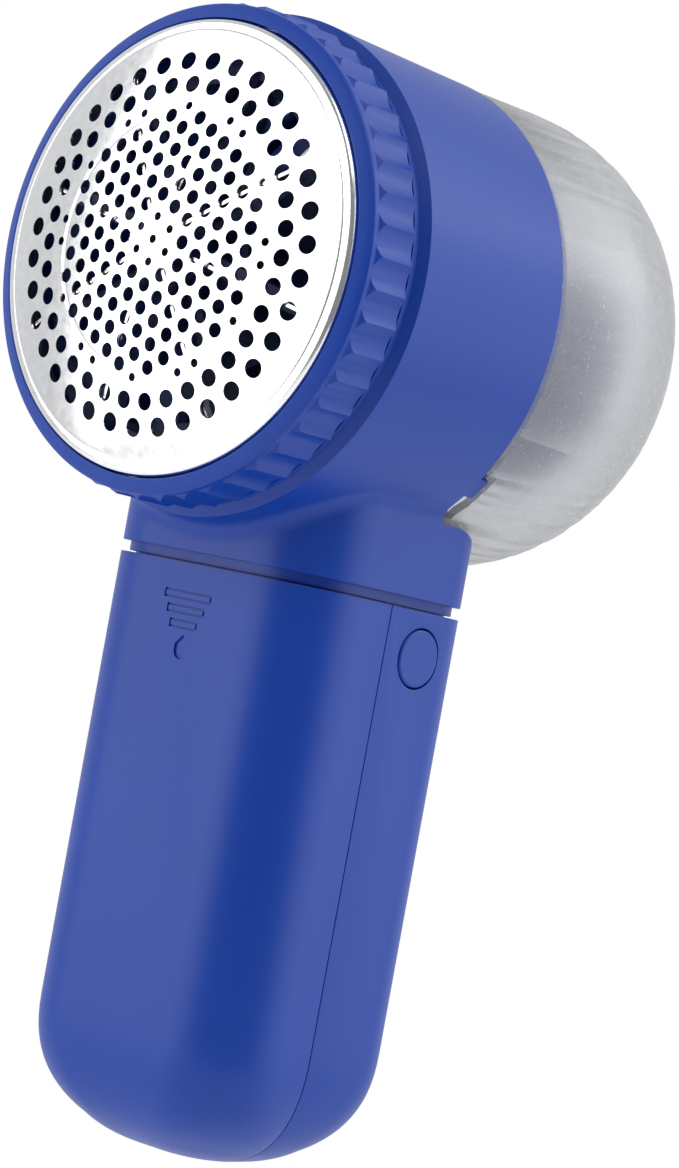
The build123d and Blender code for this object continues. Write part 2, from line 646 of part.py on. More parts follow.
def cell(x, foot, nub_up):
    """One AA cell standing in the tray, its positive nub up or down."""
    body_foot = foot if nub_up else foot + CELL_NUB
    nub_foot = foot + CELL_BODY if nub_up else foot
    with BuildPart(mode=Mode.PRIVATE) as whole:
        with BuildSketch(GRIP.offset(body_foot)):
            with Locations((x, CELL_Y)):
                Circle(CELL_R)
        extrude(amount=CELL_BODY)
        fillet(whole.edges().filter_by(GeomType.CIRCLE), 0.6)
        with BuildSketch(GRIP.offset(nub_foot)):
            with Locations((x, CELL_Y)):
                Circle(2.7)
        extrude(amount=CELL_NUB)
    return whole.part


save(cell(-CELL_X, CELL_FOOT, True), "left_cell")
save(cell(CELL_X, CELL_FOOT - 0.6, False), "right_cell")


def coil(plane, radius, wire, pitch, height):
    """Coil spring that stands on a plane."""
    with BuildPart(mode=Mode.PRIVATE) as spring:
        with BuildLine() as path:
            Helix(pitch, height, radius)
        with BuildSketch(Plane(origin=path.line @ 0, z_dir=path.line % 0)):
            Circle(wire)
        sweep(path=path.line, is_frenet=True)
    return plane.location * spring.part


def grip_spot(x, y, h):
    """Plane across the grip with its origin at a point in the grip."""
    return Plane(origin=GRIP.from_local_coords((x, y, h)), x_dir=(1, 0, 0), z_dir=UP)


lower_spring = coil(grip_spot(-CELL_X, CELL_Y, -58.5), 3.2, 0.25, 0.62, 1.25)
upper_spring = coil(grip_spot(CELL_X, CELL_Y, -7.1), 3.2, 0.25, 0.62, 1.25)
with BuildPart() as contact_springs:
    add(lower_spring)
    add(upper_spring)
save(contact_springs.part, "contact_springs")

with BuildPart() as contact_plates:
    for side, foot in ((-1, -6.75), (1, -5.65)):
        low, high = sorted((side * 2.6, side * 12.4))
        add(grip_box((low, high), (CELL_Y - 4.6, CELL_Y + 4.6), (-5.6, -5.25)))
        low, high = side * CELL_X - 1.8, side * CELL_X + 1.8
        add(grip_box((low, high), (CELL_Y - 1.8, CELL_Y + 1.8), (foot, -5.3)))
save(contact_plates.part, "contact_plates")

with BuildPart() as bridge_plate:
    add(grip_box((-12.0, 12.0), (-11.9, TRAY_FRONT - 0.3), (-59.15, -58.8)))
    add(grip_box((-0.6, 0.6), (-11.9, TRAY_FRONT), (-60, -58)), mode=Mode.SUBTRACT)
    add(grip_box((-12.0, 12.0), (-11.9, -11.2), (-59.15, -58.8)))
    add(grip_box((CELL_X - 1.8, CELL_X + 1.8), (CELL_Y - 1.8, CELL_Y + 1.8), (-59.1, -57.65)))
save(bridge_plate.part, "bridge_plate")

with BuildPart() as circuit_board:
    add(grip_box((8.4, SWITCH_BACK), (TRAY_BACK + 0.05, 13.0), (-12.0, 7.0)))
    with BuildSketch(grip_side(8.0)):
        with Locations((11.2, -9.5), (11.2, 4.5)):
            Circle(0.7)
    extrude(amount=3, mode=Mode.SUBTRACT)
save(circuit_board.part, "circuit_board")

with BuildPart() as switch_body:
    add(grip_box((SWITCH_BACK, SWITCH_FACE), (BUTTON_Y - SWITCH_HALF, BUTTON_Y + SWITCH_HALF),
                 (BUTTON_H - SWITCH_HALF, BUTTON_H + SWITCH_HALF)))
    chamfer(switch_body.edges().group_by(Axis.X)[-1], 0.4)
    with BuildSketch(grip_side(SWITCH_FACE - 4.0)):
        with Locations((BUTTON_Y, BUTTON_H)):
            Circle(PLUNGER_R + 0.15)
    extrude(amount=5, mode=Mode.SUBTRACT)
save(switch_body.part, "switch_body")

with BuildPart() as switch_plunger:
    with BuildSketch(grip_side(SWITCH_FACE - 2.6)):
        with Locations((BUTTON_Y, BUTTON_H)):
            Circle(PLUNGER_R)
    extrude(amount=5.25)
save(switch_plunger.part, "switch_plunger")

with BuildPart() as power_button:
    with BuildSketch(grip_side(16.9)):
        with Locations((BUTTON_Y, BUTTON_H)):
            Circle(BUTTON_FLANGE_R)
    extrude(amount=1.4)
    with BuildSketch(grip_side(17.5)):
        with Locations((BUTTON_Y, BUTTON_H)):
            Circle(BUTTON_R)
    extrude(amount=BUTTON_FACE - 17.5)
    fillet(power_button.edges().filter_by(GeomType.CIRCLE).sort_by(Axis.X)[-1], 0.35)
save(power_button.part, "power_button")

spring_seat = Plane(origin=GRIP.from_local_coords((SWITCH_FACE + 0.35, BUTTON_Y, BUTTON_H)), x_dir=REAR,
                    z_dir=(1, 0, 0))
save(coil(spring_seat, 2.6, 0.28, 0.8, 2.0), "button_spring")

with BuildPart() as cover_pad:
    add(grip_box((-2.6, 2.6), (-HALF_Y + WALL + 0.02, -14.95), (-42.0, -18.0)))
    fillet(cover_pad.edges().filter_by(GeomType.LINE).group_by(SortBy.LENGTH)[0], 0.4)
save(cover_pad.part, "cover_pad")


def head_point(x, depth, z):
    """Point in the row frame from x, depth and height about the head's axis."""
    return (x, HEAD_Y + depth, HEAD_Z + z)


leads = []
for side in (-1, 1):
    route = [
        head_point(side * TERMINAL_X, 42.0, -0.9),
        head_point(side * TERMINAL_X, 42.0, -6.0),
        head_point(side * 3.4, 42.0, -11.5),
        head_point(side * 3.4, 42.0, -18.5),
        head_point(side * 3.4, 31.0, -18.5),
        head_point(side * 3.4, 31.0, -39.0),
        head_point(side * 3.4 + 1.5, 42.0 + side * 1.5, -42.9 + side * 0.9),
        head_point(7.7, 42.0 + side * 1.5, -42.9 + side * 0.9),
    ]
    leads.append(tube(route, LEAD_R, 1.2))
with BuildPart() as motor_leads:
    for lead in leads:
        add(lead)
save(motor_leads.part, "motor_leads")

leads = []
for x, up, rear in ((-6.0, 3.6, 10.5), (5.5, 3.6, 0.3)):
    route = [GRIP.from_local_coords(spot) for spot in
             ((x, CELL_Y, -3.95), (x, CELL_Y, up), (x, rear, up), (7.75, rear + 1, up))]
    leads.append(tube(route, LEAD_R, 0.9))
with BuildPart() as battery_leads:
    for lead in leads:
        add(lead)
save(battery_leads.part, "battery_leads")
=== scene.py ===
"""Looks of the hand-held fabric shaver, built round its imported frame."""

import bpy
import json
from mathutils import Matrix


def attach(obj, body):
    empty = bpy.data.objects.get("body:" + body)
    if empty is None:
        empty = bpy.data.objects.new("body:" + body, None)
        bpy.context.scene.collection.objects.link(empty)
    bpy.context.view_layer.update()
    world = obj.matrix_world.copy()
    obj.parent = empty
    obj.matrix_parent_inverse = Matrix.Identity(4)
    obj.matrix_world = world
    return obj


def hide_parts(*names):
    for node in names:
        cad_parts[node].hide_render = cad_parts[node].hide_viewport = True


bl_info = {
    "name": "Fabric Shaver",
    "version": (1, 0, 0),
    "blender": (4, 5, 0),
    "location": "View3D > Sidebar > Shaver",
    "description": "Builds the shaver's foil, ring, housings, bin and finishes round its CAD frame",
    "category": "Object",
}

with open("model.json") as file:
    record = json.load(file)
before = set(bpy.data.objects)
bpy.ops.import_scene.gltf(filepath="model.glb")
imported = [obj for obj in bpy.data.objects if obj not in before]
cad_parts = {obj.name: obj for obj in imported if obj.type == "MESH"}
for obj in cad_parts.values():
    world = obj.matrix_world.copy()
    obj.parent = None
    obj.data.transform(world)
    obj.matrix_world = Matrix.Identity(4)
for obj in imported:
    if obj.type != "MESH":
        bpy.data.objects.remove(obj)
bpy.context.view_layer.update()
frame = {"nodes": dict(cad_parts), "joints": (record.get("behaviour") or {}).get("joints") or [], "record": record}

import json
import math

import bpy
from bpy.props import FloatProperty, FloatVectorProperty, IntProperty, PointerProperty
from mathutils import Matrix, Vector

MM = 0.001
JOINTS = {joint["name"]: joint for joint in frame["joints"]}
HEAD = Vector(JOINTS["cutter_spin"]["pos_m"])  # on the head's axis, level with the outer row of holes
DOWN_GRIP = Vector(JOINTS["cover_slide"]["axis"]).normalized()
SMOOTH_ANGLE = math.radians(32)
FINISHES = {}

# ---- Sizes shared by several pieces, in millimetres ---------------------------------
DOME_APEX = -2.65
DOME_R = 108.0
FOIL_R = 30.0
SHEET = 0.3
SLEEVE_R = 30.9
SLEEVE_BACK = 43.8
GRIP_DEPTH = 36.94
GRIP_DROP = 48.0
HALF_X = 20.35
HALF_Y = 18.86
CORNER = 11.0
WALL = 1.7
FOOT = -68.85
FOOT_ROUND = 18.1
FOOT_POWER = 0.8
SEAM_Y = -2.1
SEAM_GAP = 0.2
GROOVE_BOTTOM = -39.2
BUTTON_Y = 5.0
BUTTON_H = 2.4
BIN_R = 32.4
BIN_FRONT = 41.1
BIN_SHOULDER = 57.9
BIN_BACK = 82.5
BIN_FLAT_R = 7.0
BIN_WALL = 1.2
EDGE_R = 29.3
FLANGE_R = 31.0
FLANGE_BACK = 6.0
ROW_COUNT = 35
OUTER_ROW_R = 24.0
OUTER_ROW_START = 4.6
SECOND_ROW_R = 20.72
SECOND_ROW_START = 9.75
LATTICE_PITCH = 2.96
LATTICE_REACH = 6.1
RING_FRONT = 1.95
RING_BACK = 10.4
RING_R = 32.75
RING_BORE = 30.15
RING_COUNTERBORE = 31.3
RING_SHOULDER = 5.6
FLUTE_R = 4.1
FLUTE_FRONT = 3.05
COLLAR_R = 31.0
GRIP_TOP = 48.0
MOTOR_BACK = 38.0
MOUNT_R = 13.9
COVER_R = 17.5
COVER_BORE = 16.1
COVER_WALL = 60.0
COVER_BACK = 74.5
COVER_RIBS = 40
BUTTON_HOLE_R = 4.15
SCREW_HEIGHTS = (-50.0, -9.0)
MARK_TOP = 5.3
MARK_DEPTH = 0.3


# ======================= Properties ==================================================
class ShaverSizes(bpy.types.PropertyGroup):
    """Sizes that a user may change."""

    outer_hole: FloatProperty(name="Outer hole", description="Radius of the foil's outer holes",
                              default=1.23 * MM, unit="LENGTH")
    second_hole: FloatProperty(name="Second hole", description="Radius of the second row of holes",
                               default=1.15 * MM, unit="LENGTH")
    lattice_hole: FloatProperty(name="Inner hole", description="Radius of the holes of the inner field",
                                default=0.96 * MM, unit="LENGTH")
    pin_hole: FloatProperty(name="Pin hole", description="Radius of the smallest holes of the inner field",
                            default=0.576 * MM, unit="LENGTH")
    flutes: IntProperty(name="Flutes", description="Number of finger flutes round the ring",
                        default=50, min=12)
    flute_depth: FloatProperty(name="Flute depth", description="How deep a flute is cut into the ring",
                               default=0.62 * MM, unit="LENGTH")
    edge: FloatProperty(name="Edge", description="Rounding of the shells' edges",
                        default=0.22 * MM, unit="LENGTH")


class ShaverColours(bpy.types.PropertyGroup):
    """Colours that a user may change."""

    shell: FloatVectorProperty(name="Shell", description="Blue of the moulded shells", subtype="COLOR",
                               default=(0.001, 0.042, 0.33), size=3, min=0, max=1)
    steel: FloatVectorProperty(name="Foil", description="Colour of the polished foil", subtype="COLOR",
                               default=(0.93, 0.935, 0.94), size=3, min=0, max=1)
    bin: FloatVectorProperty(name="Bin", description="Tint of the frosted bin", subtype="COLOR",
                             default=(0.9, 0.91, 0.93), size=3, min=0, max=1)
    navy: FloatVectorProperty(name="Cutter hub", description="Dark blue of the cutter's hub",
                              subtype="COLOR", default=(0.012, 0.028, 0.12), size=3, min=0, max=1)
    cover: FloatVectorProperty(name="Motor cover", description="Blue-grey of the motor's cover",
                               subtype="COLOR", default=(0.13, 0.15, 0.27), size=3, min=0, max=1)
    floor: FloatVectorProperty(name="Floor", description="Pale floor of the stage", subtype="COLOR",
                               default=(0.95, 0.95, 0.95), size=3, min=0, max=1)


# ======================= Places ======================================================
def at_depth(depth, x=0.0, z=0.0):
    """Point of the head from its depth, x and height about the axis, all in millimetres."""
    return HEAD + Vector((x, depth, z)) * MM


def grip_matrix():
    """Frame of the grip: x across, y to the rear, z up the grip."""
    up = -DOWN_GRIP
    across = Vector((1, 0, 0))
    rear = up.cross(across)
    turn = Matrix((across, rear, up)).transposed().to_4x4()
    return Matrix.Translation(at_depth(GRIP_DEPTH, 0, -GRIP_DROP)) @ turn


GRIP = grip_matrix()


def dome(radius, behind=0.0):
    """Depth of the foil's face, or of a surface behind it, at a radius."""
    return DOME_APEX + behind + DOME_R - math.sqrt(DOME_R**2 - radius**2)


# ======================= Modelling helpers ===========================================
def deselect():
    """Nothing selected and no mode but object mode."""
    if bpy.context.object and bpy.context.object.mode != "OBJECT":
        bpy.ops.object.mode_set(mode="OBJECT")
    bpy.ops.object.select_all(action="DESELECT")


def pick(piece):
    """Only this piece is selected and active."""
    deselect()
    piece.select_set(True)
    bpy.context.view_layer.objects.active = piece


def settle(piece, name):
    """Name a piece and put its place into its mesh."""
    pick(piece)
    piece.name = name
    piece.data.name = name
    bpy.ops.object.transform_apply(location=True, rotation=True, scale=True)
    return piece


def tidy_mesh(piece, weld=0.002 * MM):
    """Weld what coincides and turn every face outwards."""
    pick(piece)
    bpy.ops.object.mode_set(mode="EDIT")
    bpy.ops.mesh.select_all(action="SELECT")
    bpy.ops.mesh.remove_doubles(threshold=weld)
    bpy.ops.mesh.normals_make_consistent(inside=False)
    bpy.ops.object.mode_set(mode="OBJECT")


def lathe(name, outline, segments, closed=True):
    """Draw a circle out from station to station (depth, radius) about the head's axis."""
    deselect()
    depth, radius = outline[0]
    bpy.ops.mesh.primitive_circle_add(vertices=segments, radius=radius * MM, location=at_depth(depth),
                                      rotation=(math.pi / 2, 0, 0))
    piece = settle(bpy.context.object, name)
    bpy.ops.object.mode_set(mode="EDIT")
    bpy.ops.mesh.select_all(action="SELECT")
    stations = outline[1:] + (outline[:1] if closed else [])
    for next_depth, next_radius in stations:
        bpy.ops.mesh.extrude_edges_move(TRANSFORM_OT_translate={"value": (0, (next_depth - depth) * MM, 0)})
        grow = next_radius / radius
        bpy.ops.transform.resize(value=(grow, 1, grow), center_override=at_depth(next_depth))
        depth, radius = next_depth, next_radius
    bpy.ops.object.mode_set(mode="OBJECT")
    tidy_mesh(piece)
    return piece


def arc(centre, radius, start, end, steps):
    """Stations along a round stretch of an outline, by angles in degrees from the depth axis."""
    spots = []
    for step in range(steps + 1):
        angle = math.radians(start + (end - start) * step / steps)
        spots.append((centre[0] + radius * math.cos(angle), centre[1] + radius * math.sin(angle)))
    return spots


def bezier(points, steps):
    """Stations along a cubic curve."""
    spots = []
    for step in range(steps + 1):
        t = step / steps
        weights = ((1 - t) ** 3, 3 * (1 - t) ** 2 * t, 3 * (1 - t) * t**2, t**3)
        spots.append(tuple(sum(w * p[axis] for w, p in zip(weights, points)) for axis in (0, 1)))
    return spots


def modify(piece, kind, **settings):
    """Add a modifier and apply it."""
    pick(piece)
    modifier = piece.modifiers.new(kind.title(), kind)
    for key, value in settings.items():
        setattr(modifier, key, value)
    bpy.ops.object.modifier_apply(modifier=modifier.name)


def cut(piece, tool, overlaps=False):
    """Cut a tool's shape out of a piece and throw the tool away."""
    modify(piece, "BOOLEAN", object=tool, operation="DIFFERENCE", solver="EXACT", use_self=overlaps)
    bpy.data.objects.remove(tool)


def round_edges(piece, width, angle=35, segments=3):
    """Round the sharp edges of a piece."""
    modify(piece, "BEVEL", width=width, segments=segments, limit_method="ANGLE",
           angle_limit=math.radians(angle))


def smooth(piece, angle=SMOOTH_ANGLE):
    """Smooth shading that keeps sharp edges."""
    pick(piece)
    bpy.ops.object.shade_smooth_by_angle(angle=angle)


def join(pieces, name):
    """Join pieces into one object."""
    pick(pieces[0])
    for piece in pieces[1:]:
        piece.select_set(True)
    bpy.ops.object.join()
    return settle(bpy.context.object, name)


def rod(depth, x, z, radius, length, sides=24):
    """Cylinder along the head's axis from a depth, as a tool or a part."""
    deselect()
    bpy.ops.mesh.primitive_cylinder_add(vertices=sides, radius=radius * MM, depth=length * MM,
                                        location=at_depth(depth + length / 2, x, z),
                                        rotation=(math.pi / 2, 0, 0))
    return settle(bpy.context.object, "rod")


def sector(inner, outer, front, back, start, sweep):
    """Stretch of a ring about the head's axis, from an angle in degrees seen from the foil."""
    piece = lathe("sector", [(front, inner), (front, outer), (back, outer), (back, inner)], 180)
    for angle, side in ((start, 1), (start + sweep, -1)):
        turn = math.radians(angle)
        pick(piece)
        bpy.ops.object.mode_set(mode="EDIT")
        bpy.ops.mesh.select_all(action="SELECT")
        bpy.ops.mesh.bisect(plane_co=HEAD, plane_no=(math.sin(turn) * side, 0, -math.cos(turn) * side),
                            clear_outer=True, use_fill=True)
        bpy.ops.object.mode_set(mode="OBJECT")
    return piece


def block(low, high, place=None):
    """Box between two corners in millimetres, in the grip's frame or in the head's."""
    deselect()
    middle = [(a + b) / 2 * MM for a, b in zip(low, high)]
    bpy.ops.mesh.primitive_cube_add(size=1)
    piece = bpy.context.object
    piece.scale = [(b - a) * MM for a, b in zip(low, high)]
    piece.matrix_world = (place or Matrix.Translation(HEAD)) @ Matrix.Translation(middle) @ Matrix.Diagonal(
        [*piece.scale, 1])
    return settle(piece, "block")


def select_edges(piece, wanted):
    """Select the edges, in edit mode, whose two ends in the grip's frame, in millimetres, are as wanted."""
    bpy.ops.mesh.select_all(action="DESELECT")
    bpy.ops.object.mode_set(mode="OBJECT")
    to_grip = GRIP.inverted() @ piece.matrix_world
    spots = [to_grip @ vertex.co / MM for vertex in piece.data.vertices]
    count = 0
    for edge in piece.data.edges:
        edge.select = wanted(spots[edge.vertices[0]], spots[edge.vertices[1]])
        count += edge.select
    bpy.ops.object.mode_set(mode="EDIT")
    return count


def select_spots(piece, wanted):
    """Select the vertices, in edit mode, whose own place in millimetres is as wanted."""
    bpy.ops.object.mode_set(mode="OBJECT")
    for polygon in piece.data.polygons:
        polygon.select = False
    for edge in piece.data.edges:
        edge.select = False
    for vertex in piece.data.vertices:
        vertex.select = wanted(vertex.co / MM)
    bpy.ops.object.mode_set(mode="EDIT")


def grip_blank(name, inset):
    """The grip's full outer shape, or its hollow, from above the neck down to the round foot."""
    deselect()
    bpy.ops.mesh.primitive_plane_add(size=2)
    piece = bpy.context.object
    piece.scale = ((HALF_X - inset) * MM, (HALF_Y - inset) * MM, 1)
    settle(piece, name)
    bpy.ops.object.mode_set(mode="EDIT")
    bpy.ops.mesh.select_mode(type="VERT")
    bpy.ops.mesh.select_all(action="SELECT")
    bpy.ops.mesh.bevel(affect="VERTICES", offset=(CORNER - inset) * MM, segments=20)
    bpy.ops.mesh.select_all(action="SELECT")
    bpy.ops.transform.translate(value=(0, 0, GRIP_TOP * MM))
    height = GRIP_TOP
    stations = [(FOOT + FOOT_ROUND, 0.0)]
    for step in range(1, 25):
        turn = math.radians(89.0) * step / 24
        stations.append((FOOT + FOOT_ROUND - (FOOT_ROUND - inset) * math.sin(turn) ** FOOT_POWER,
                         (FOOT_ROUND - inset) * (1 - math.cos(turn) ** FOOT_POWER)))
    drawn = 0.0
    for low, draw_in in stations:
        bpy.ops.mesh.select_mode(type="FACE")
        bpy.ops.mesh.extrude_region_move(TRANSFORM_OT_translate={"value": (0, 0, (low - height) * MM)})
        height = low
        half_y = HALF_Y - inset - draw_in
        if draw_in and 0.9 * half_y > CORNER - inset:
            bpy.ops.mesh.select_mode(type="VERT")
            for side_x in (-1, 1):
                for side_y in (-1, 1):
                    select_spots(piece, lambda spot: abs(spot.z - height) < 0.01 and spot.x * side_x > 0
                                 and spot.y * side_y > 0)
                    step_in = (draw_in - drawn) * MM
                    bpy.ops.transform.translate(value=(-side_x * step_in, -side_y * step_in, 0))
            select_spots(piece, lambda spot: abs(spot.z - height) < 0.01)
        elif draw_in:
            grow = ((HALF_X - inset - draw_in) / (HALF_X - inset - drawn),
                    half_y / (HALF_Y - inset - drawn), 1)
            bpy.ops.transform.resize(value=grow, center_override=(0, 0, height * MM))
        drawn = draw_in
    bpy.ops.object.mode_set(mode="OBJECT")
    piece.matrix_world = GRIP
    settle(piece, name)
    tidy_mesh(piece)
    return piece


def post(spot, along, radius, length, sides=32):
    """Cylinder from a spot of the grip along one of the grip's axes, as a tool."""
    deselect()
    bpy.ops.mesh.primitive_cylinder_add(vertices=sides, radius=radius * MM, depth=length * MM)
    piece = bpy.context.object
    turn = Matrix.Rotation(math.pi / 2, 4, "Y" if along == "X" else "X") if along != "Z" else Matrix()
    middle = list(spot)
    middle["XYZ".index(along)] += length / 2
    piece.matrix_world = GRIP @ Matrix.Translation([value * MM for value in middle]) @ turn
    return settle(piece, "post")


def outline_bar(middle, width, height, line, front):
    """Thin frame of a bar, as a tool that engraves the grip's front face."""
    x, z = middle
    frames = []
    for shrink in (0, line):
        bar = block((x - width / 2 + shrink, front - 0.4, z - height / 2 + shrink),
                    (x + width / 2 - shrink, front + MARK_DEPTH + shrink, z + height / 2 - shrink), GRIP)
        frames.append(bar)
    outer, inner = frames
    cut(outer, inner)
    return outer


def finish_piece(piece, body, material, slot, *nodes):
    """Give a piece its finish and its body, and hide the nodes that it stands for; slot is not used."""
    piece.data.materials.clear()
    piece.data.materials.append(material)
    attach(piece, body)
    if nodes:
        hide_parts(*nodes)


# ======================= Materials ===================================================
def new_material(name):
    """Material with its shader and its Object coordinates."""
    material = bpy.data.materials.new(name)
    material.use_nodes = True
    nodes = material.node_tree.nodes
    shader = next(node for node in nodes if node.type == "BSDF_PRINCIPLED")
    coords = nodes.new("ShaderNodeTexCoord")
    return material, shader, coords.outputs["Object"]


def noise(material, source, scale, detail=3.0, roughness=0.55):
    """Noise texture at a scale per metre."""
    node = material.node_tree.nodes.new("ShaderNodeTexNoise")
    node.inputs["Scale"].default_value = scale
    node.inputs["Detail"].default_value = detail
    node.inputs["Roughness"].default_value = roughness
    material.node_tree.links.new(source, node.inputs["Vector"])
    return node.outputs["Fac"]


def spread(material, value, low, high):
    """Map a 0 to 1 value to a range."""
    node = material.node_tree.nodes.new("ShaderNodeMapRange")
    node.inputs["From Min"].default_value = 0.25
    node.inputs["From Max"].default_value = 0.75
    node.inputs["To Min"].default_value = low
    node.inputs["To Max"].default_value = high
    material.node_tree.links.new(value, node.inputs["Value"])
    return node.outputs["Result"]


def bump(material, shader, height, distance, strength=1.0):
    """Fine relief from a height value, with its depth in metres."""
    node = material.node_tree.nodes.new("ShaderNodeBump")
    node.inputs["Distance"].default_value = distance
    node.inputs["Strength"].default_value = strength
    material.node_tree.links.new(height, node.inputs["Height"])
    material.node_tree.links.new(node.outputs["Normal"], shader.inputs["Normal"])


def two_tone(material, shader, value, dark, light):
    """Base colour that drifts between two tones."""
    ramp = material.node_tree.nodes.new("ShaderNodeValToRGB")
    ramp.color_ramp.elements[0].position = 0.3
    ramp.color_ramp.elements[1].position = 0.7
    ramp.color_ramp.elements[0].color = (*dark, 1)
    ramp.color_ramp.elements[1].color = (*light, 1)
    material.node_tree.links.new(value, ramp.inputs["Fac"])
    material.node_tree.links.new(ramp.outputs["Color"], shader.inputs["Base Color"])


def shade(colour, factor):
    """A colour made darker or lighter."""
    return tuple(min(1.0, channel * factor) for channel in colour)


def plastic(name, colour, rough, grain=2600.0, relief=0.004 * MM, gloss=0.5):
    """Moulded plastic: an even tone, a fine sparked grain and slightly uneven gloss."""
    material, shader, coords = new_material(name)
    grains = noise(material, coords, grain, 2.0)
    drift = noise(material, coords, 45.0, 2.0)
    two_tone(material, shader, drift, shade(colour, 0.97), shade(colour, 1.03))
    material.node_tree.links.new(spread(material, grains, rough - 0.03, rough + 0.03),
                                 shader.inputs["Roughness"])
    shader.inputs["Specular IOR Level"].default_value = gloss
    bump(material, shader, grains, relief)
    return material


def metal(name, colour, rough, scratch=(220.0, 220.0, 9000.0), relief=0.0008 * MM):
    """Metal with fine drawn lines along one direction."""
    material, shader, coords = new_material(name)
    mapping = material.node_tree.nodes.new("ShaderNodeMapping")
    mapping.inputs["Scale"].default_value = [value / 1000.0 for value in scratch]
    material.node_tree.links.new(coords, mapping.inputs["Vector"])
    lines = noise(material, mapping.outputs["Vector"], 1000.0, 3.0)
    two_tone(material, shader, lines, shade(colour, 0.96), shade(colour, 1.02))
    shader.inputs["Metallic"].default_value = 1.0
    material.node_tree.links.new(spread(material, lines, rough * 0.85, rough * 1.2),
                                 shader.inputs["Roughness"])
    bump(material, shader, lines, relief)
    return material


def frosted(name, colour):
    """Frosted see-through plastic: blurred transmission under a fine matt skin."""
    material, shader, coords = new_material(name)
    grains = noise(material, coords, 3200.0, 2.0)
    shader.inputs["Base Color"].default_value = (*colour, 1)
    shader.inputs["Transmission Weight"].default_value = 0.94
    shader.inputs["IOR"].default_value = 1.35
    material.node_tree.links.new(spread(material, grains, 0.22, 0.28), shader.inputs["Roughness"])
    bump(material, shader, grains, 0.003 * MM)
    return material


def make_finish(slot):
    """Finish of one material slot, made once."""
    if slot in FINISHES:
        return FINISHES[slot]
    colours = bpy.context.scene.shaver_colours
    makers = {
        "blue_shell": lambda: plastic("blue_shell", tuple(colours.shell), 0.38, gloss=0.38),
        "foil_steel": lambda: metal("foil_steel", tuple(colours.steel), 0.16, (900.0, 900.0, 900.0)),
        "frosted_bin": lambda: frosted("frosted_bin", tuple(colours.bin)),
        "navy_plastic": lambda: plastic("navy_plastic", tuple(colours.navy), 0.42),
        "grey_plastic": lambda: plastic("grey_plastic", tuple(colours.cover), 0.48),
        "blade_steel": lambda: metal("blade_steel", (0.86, 0.87, 0.88), 0.16, (300.0, 9000.0, 300.0)),
        "motor_steel": lambda: metal("motor_steel", (0.56, 0.57, 0.58), 0.3, (300.0, 9000.0, 300.0)),
        "bronze": lambda: metal("bronze", (0.62, 0.4, 0.19), 0.42, (2500.0, 2500.0, 2500.0), 0.004 * MM),
        "magnet_ferrite": lambda: plastic("magnet_ferrite", (0.045, 0.045, 0.05), 0.62, 1600.0, 0.01 * MM),
        "copper": lambda: metal("copper", (0.76, 0.32, 0.14), 0.28, (300.0, 300.0, 6000.0), 0.004 * MM),
        "plated_contact": lambda: metal("plated_contact", (0.76, 0.75, 0.71), 0.24),
        "cell_jacket": lambda: plastic("cell_jacket", (0.03, 0.032, 0.036), 0.26, 900.0, 0.001 * MM),
        "board_green": lambda: plastic("board_green", (0.012, 0.13, 0.045), 0.34, 1500.0, 0.003 * MM),
        "black_plastic": lambda: plastic("black_plastic", (0.012, 0.012, 0.014), 0.5),
        "ceramic_orange": lambda: plastic("ceramic_orange", (0.55, 0.17, 0.02), 0.3, 1200.0, 0.002 * MM),
        "lead_insulation": lambda: plastic("lead_insulation", (0.4, 0.012, 0.012), 0.44, 1200.0, 0.002 * MM),
        "felt": lambda: plastic("felt", (0.42, 0.4, 0.34), 0.95, 5200.0, 0.05 * MM, 0.1),
        "foam": lambda: plastic("foam", (0.03, 0.03, 0.034), 0.95, 3800.0, 0.06 * MM, 0.1),
    }
    FINISHES[slot] = makers[slot]()
    return FINISHES[slot]


